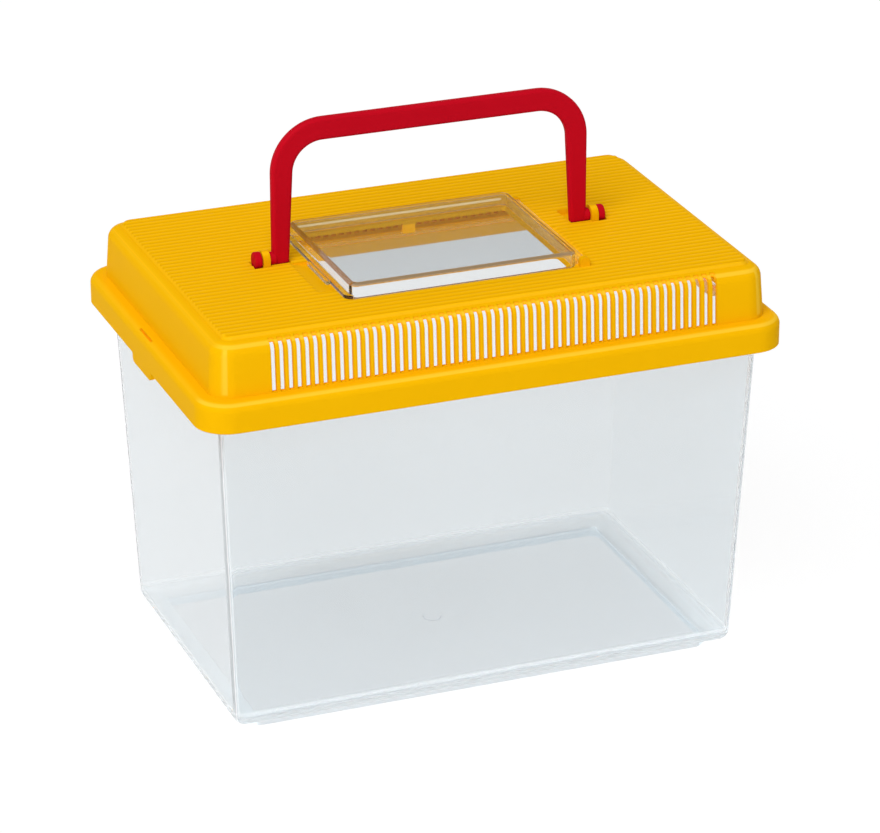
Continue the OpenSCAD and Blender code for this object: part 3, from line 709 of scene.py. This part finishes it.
# the tray with its lip, the web to its hinge, and the barrel with a pin at either end, turned about Y
def buildHatch():
    h = hatch
    left = h["middle"][0] - h["half"][0] - h["flange"]
    right = h["middle"][0] + h["half"][0]
    front, rear, reach = h["lip"]
    start, end, radius = h["barrel"]
    thin, pinReach = h["pin"]
    low, high = h["low"] + h["sink"], h["low"] + h["flangeThick"] - h["sink"]
    lip = plateRings((left - reach, front, low), (left + h["overlap"], rear, high), *h["lipSoft"])
    web = plateRings((right - h["overlap"], start, low), (h["hingeX"], end, high), *h["webSoft"])
    barrel = turnedRings([
        (h["pole"], start - pinReach, 0), (thin, start - pinReach, h["pinSoft"]), (thin, start, 0),
        (radius, start, h["pinSoft"]), (radius, end, h["pinSoft"]), (thin, end, 0),
        (thin, end + pinReach, h["pinSoft"]), (h["pole"], end + pinReach, 0)], h["barrelSteps"])
    barrel = np.stack([h["hingeX"] + barrel[..., 1], barrel[..., 2], h["hingeZ"] + barrel[..., 0]], axis=-1)
    buildPiece("clearHatch", [trayRings(), lip, web, barrel], glassy, "hatch", "hatch")


buildHatch()
print("hatch built")


# the lid: lengths in millimetres; crease, in degrees, is how sharp an edge has to be to stay crisp
lid = {
    "crease": 28,
    # the plastic
    "deep": (0.925, 0.475, 0.001, 1.0), "light": (0.945, 0.5, 0.002, 1.0), "roughness": 0.38,
    "roughSpread": 0.06, "grainScale": 900.0, "grainDepth": 0.06, "cloudScale": 25.0, "specular": 0.004,
    "bevel": 0.4, "glow": (0.3, 0.105, 0.0, 1.0),
    # painted highlights and shade: colour and share
    "crestHighlight": ((1.0, 0.56, 0.01, 1.0), 0.45), "grooveShade": ((0.8, 0.39, 0.0, 1.0), 0.75),
    "edgeHighlight": ((1.0, 0.61, 0.035, 1.0), 0.85),
    # where they lie: from and to, and how softly they end
    "hoodEdge": (160.4, 161.5, 0.5), "ledgeEdge": (141.0, 141.9, 0.4), "topEdge": (162.5, 163.3, 0.4),
    "topHighlight": 0.6, "sideHighlight": 0.15, "frontHighlight": (61.5, 67.5),
    "cornerCentre": (101.7, 61.7), "cornerSlope": (1.3, 2.4, 0.6), "cornerRise": (143.5, 161.0, 1.0),
    "ribPitch": 3.27, "ribRise": (163.1, 163.3),
    # behind the skirt and under the hood: the centre and radius of the rounded corner, the roof's height
    "hollows": ((103.2, 63.2, 11.7, 140.8), (100.7, 60.7, 6.3, 161.2)), "hollowFade": 0.2}


# painted highlights on the lid's moulded edges, strongest along the front as from a lamp there: round the
# ledge, the hood and the raised top, and up the hood's two front corners
def lidEdgeHighlights(x, y, z):
    rings = z.between(*lid["hoodEdge"]) + z.between(*lid["ledgeEdge"]) \
        + lid["topHighlight"] * z.between(*lid["topEdge"])
    front = lid["sideHighlight"] + (1 - lid["sideHighlight"]) * (0 - y).rise(*lid["frontHighlight"])
    corner = frontCorner(x, y, *lid["cornerCentre"], *lid["cornerSlope"])
    return (rings * front + corner * z.between(*lid["cornerRise"])).clamp()


# the height of the ribs, 0 in a groove and 1 on a crest: 0.5 - 0.5 * cos(2 * pi * y / pitch)
def ribWave(y):
    return 0.5 - 0.5 * (y * (2 * math.pi / lid["ribPitch"])).cosine()


# a painted highlight along the rib crests
def ribCrestHighlights(x, y, z):
    wave = ribWave(y)
    return wave * wave * z.rise(*lid["ribRise"])


# painted shade in the rib grooves
def ribGrooveShade(x, y, z):
    depth = 1 - ribWave(y)
    return depth * depth * z.rise(*lid["ribRise"])


# the lid's inner faces, behind the skirt and under the hood, which get a painted glow for the light that
# shines through the plastic: inside a rounded rectangle, below a height;
# how far out a point is of the rectangle between the corner centres is sqrt(past X ** 2 + past Y ** 2)
def lidGlowFaces(x, y, z):
    faces = z * 0.0
    for centreX, centreY, corner, top in lid["hollows"]:
        pastX, pastY = (x.abs() - centreX).atLeast(0.0), (y.abs() - centreY).atLeast(0.0)
        past = (pastX * pastX + pastY * pastY).root()
        faces = faces + past.fall(corner, corner + lid["hollowFade"]) * z.fall(top, top + lid["hollowFade"])
    return faces.clamp()


yellow = colouredPlastic("yellowLidPlastic", lid, [
    (ribCrestHighlights, *lid["crestHighlight"]), (ribGrooveShade, *lid["grooveShade"]), (lidEdgeHighlights, *lid["edgeHighlight"])], lidGlowFaces)
smoothCopy("clipLid", "lid", yellow, "lid", lid["crease"])
print("lid smoothed")


# the stage: sizes in metres; floorSeen and floorLift are the floor as it is seen; ceiling is how much of
# the sky is left overhead in what the object mirrors, and ceilingRise is where it dims, as the height of
# the mirrored direction
stageLook = {"floorHalf": 3.0, "floorColour": (0.88, 0.89, 0.9, 1.0),
             "floorSeen": (0.16, 0.163, 0.166, 1.0), "floorLift": 0.87,
             "skyColour": (1.0, 1.0, 1.0, 1.0), "skyLight": 0.42, "ceilingRise": (0.17, 0.34),
             "ceiling": 0.15, "mirrored": 0.8, "lampAim": (0, 0, 0.1)}


def buildFloor():
    half = stageLook["floorHalf"]
    mesh = bpy.data.meshes.new("studioFloor")
    corners = [(-half, -half, 0), (half, -half, 0), (half, half, 0), (-half, half, 0)]
    mesh.from_pydata(corners, [], [(0, 1, 2, 3)])
    floor = bpy.data.objects.new("studioFloor", mesh)
    bpy.context.scene.collection.objects.link(floor)
    paint = Paint("paleFloor")
    seen = paint.node("ShaderNodeLightPath")
    visible = (paint.wire(seen, "Is Camera Ray") + paint.wire(seen, "Is Glossy Ray")
               + paint.wire(seen, "Is Transmission Ray")).clamp()
    tone = paint.blend(visible, stageLook["floorColour"], stageLook["floorSeen"])
    matte = paint.node("ShaderNodeBsdfDiffuse", None, {"Color": tone})
    lift = paint.node("ShaderNodeEmission", None, {"Strength": visible * stageLook["floorLift"]})
    both = paint.node("ShaderNodeAddShader", None, [matte.outputs[0], lift.outputs[0]])
    mesh.materials.append(paint.surface(both.outputs[0]))


# the sky: white where it is seen, and through clear walls near the horizon; darker overhead, as under a
# studio ceiling, for what the glossy and clear surfaces mirror; a plain level for what it lights
def buildSky():
    world = bpy.data.worlds.new("studioSky")
    bpy.context.scene.world = world
    paint = Paint("studioSky", world)
    way = paint.node("ShaderNodeSeparateXYZ", None, [paint.node("ShaderNodeTexCoord").outputs["Generated"]])
    ceiling = 1 - paint.wire(way, 2).rise(*stageLook["ceilingRise"]) * (1 - stageLook["ceiling"])
    light = paint.node("ShaderNodeLightPath")
    camera, through, glossy = [paint.wire(light, name) for name in
                               ("Is Camera Ray", "Is Transmission Ray", "Is Glossy Ray")]
    plain = (1 - camera) * (1 - through) * (1 - glossy)
    mirrored = glossy * (1 - through) * ceiling * stageLook["mirrored"]
    level = camera + (1 - camera) * (through * ceiling + mirrored)
    shine = paint.node("ShaderNodeBackground", None, {
        "Color": stageLook["skyColour"], "Strength": level + plain * stageLook["skyLight"]})
    paint.surface(shine.outputs[0])


# soft boxes: place and size in metres, watts, and whether glossy surfaces mirror them
softBoxes = {
    "keyBox": {"place": (-1.33, -1.54, 2.45), "size": 1.95, "power": 67.0, "mirrored": True},
    "rearBox": {"place": (1.3, 1.5, 0.6), "size": 1.2, "power": 9.0, "mirrored": False},
}


def buildLights():
    for name, box in softBoxes.items():
        lamp = bpy.data.lights.new(name, "AREA")
        lamp.shape = "SQUARE"
        lamp.size = box["size"]
        lamp.energy = box["power"]
        holder = bpy.data.objects.new(name, lamp)
        bpy.context.scene.collection.objects.link(holder)
        holder.visible_transmission = False
        holder.visible_glossy = box["mirrored"]
        holder.location = box["place"]
        way = Vector(stageLook["lampAim"]) - holder.location
        holder.rotation_euler = way.to_track_quat("-Z", "Y").to_euler()


# where the camera stands: turned and raised, in degrees, about a point above the middle of the foot ring
cameraPlace = {"azimuth": -21.162, "elevation": 23.485, "roll": -0.118, "distance": 1.596088,
               "right": 0.00348, "up": 0.00516, "aimHeight": 0.085, "focalPixels": 4115.548,
               "frameWidth": 880, "sensor": 36.0}


def buildCamera():
    turn, rise, roll = [math.radians(cameraPlace[key]) for key in ("azimuth", "elevation", "roll")]
    back = Vector((math.sin(turn) * math.cos(rise), -math.cos(turn) * math.cos(rise), math.sin(rise)))
    flatRight = (-back).cross(Vector((0, 0, 1))).normalized()
    flatUp = flatRight.cross(-back)
    right = math.cos(roll) * flatRight + math.sin(roll) * flatUp
    up = -math.sin(roll) * flatRight + math.cos(roll) * flatUp
    lens = bpy.data.cameras.new("studioCamera")
    lens.sensor_width = cameraPlace["sensor"]
    lens.lens = cameraPlace["focalPixels"] / cameraPlace["frameWidth"] * cameraPlace["sensor"]
    camera = bpy.data.objects.new("studioCamera", lens)
    bpy.context.scene.collection.objects.link(camera)
    place = (back * cameraPlace["distance"] + right * cameraPlace["right"] + up * cameraPlace["up"]
             + Vector((0, 0, cameraPlace["aimHeight"])))
    camera.matrix_world = Matrix.Translation(place) @ Matrix((right, up, back)).transposed().to_4x4()
    bpy.context.scene.camera = camera


buildFloor()
buildSky()
buildLights()
buildCamera()
bpy.context.scene.view_settings.view_transform = "Standard"
print("stage set")
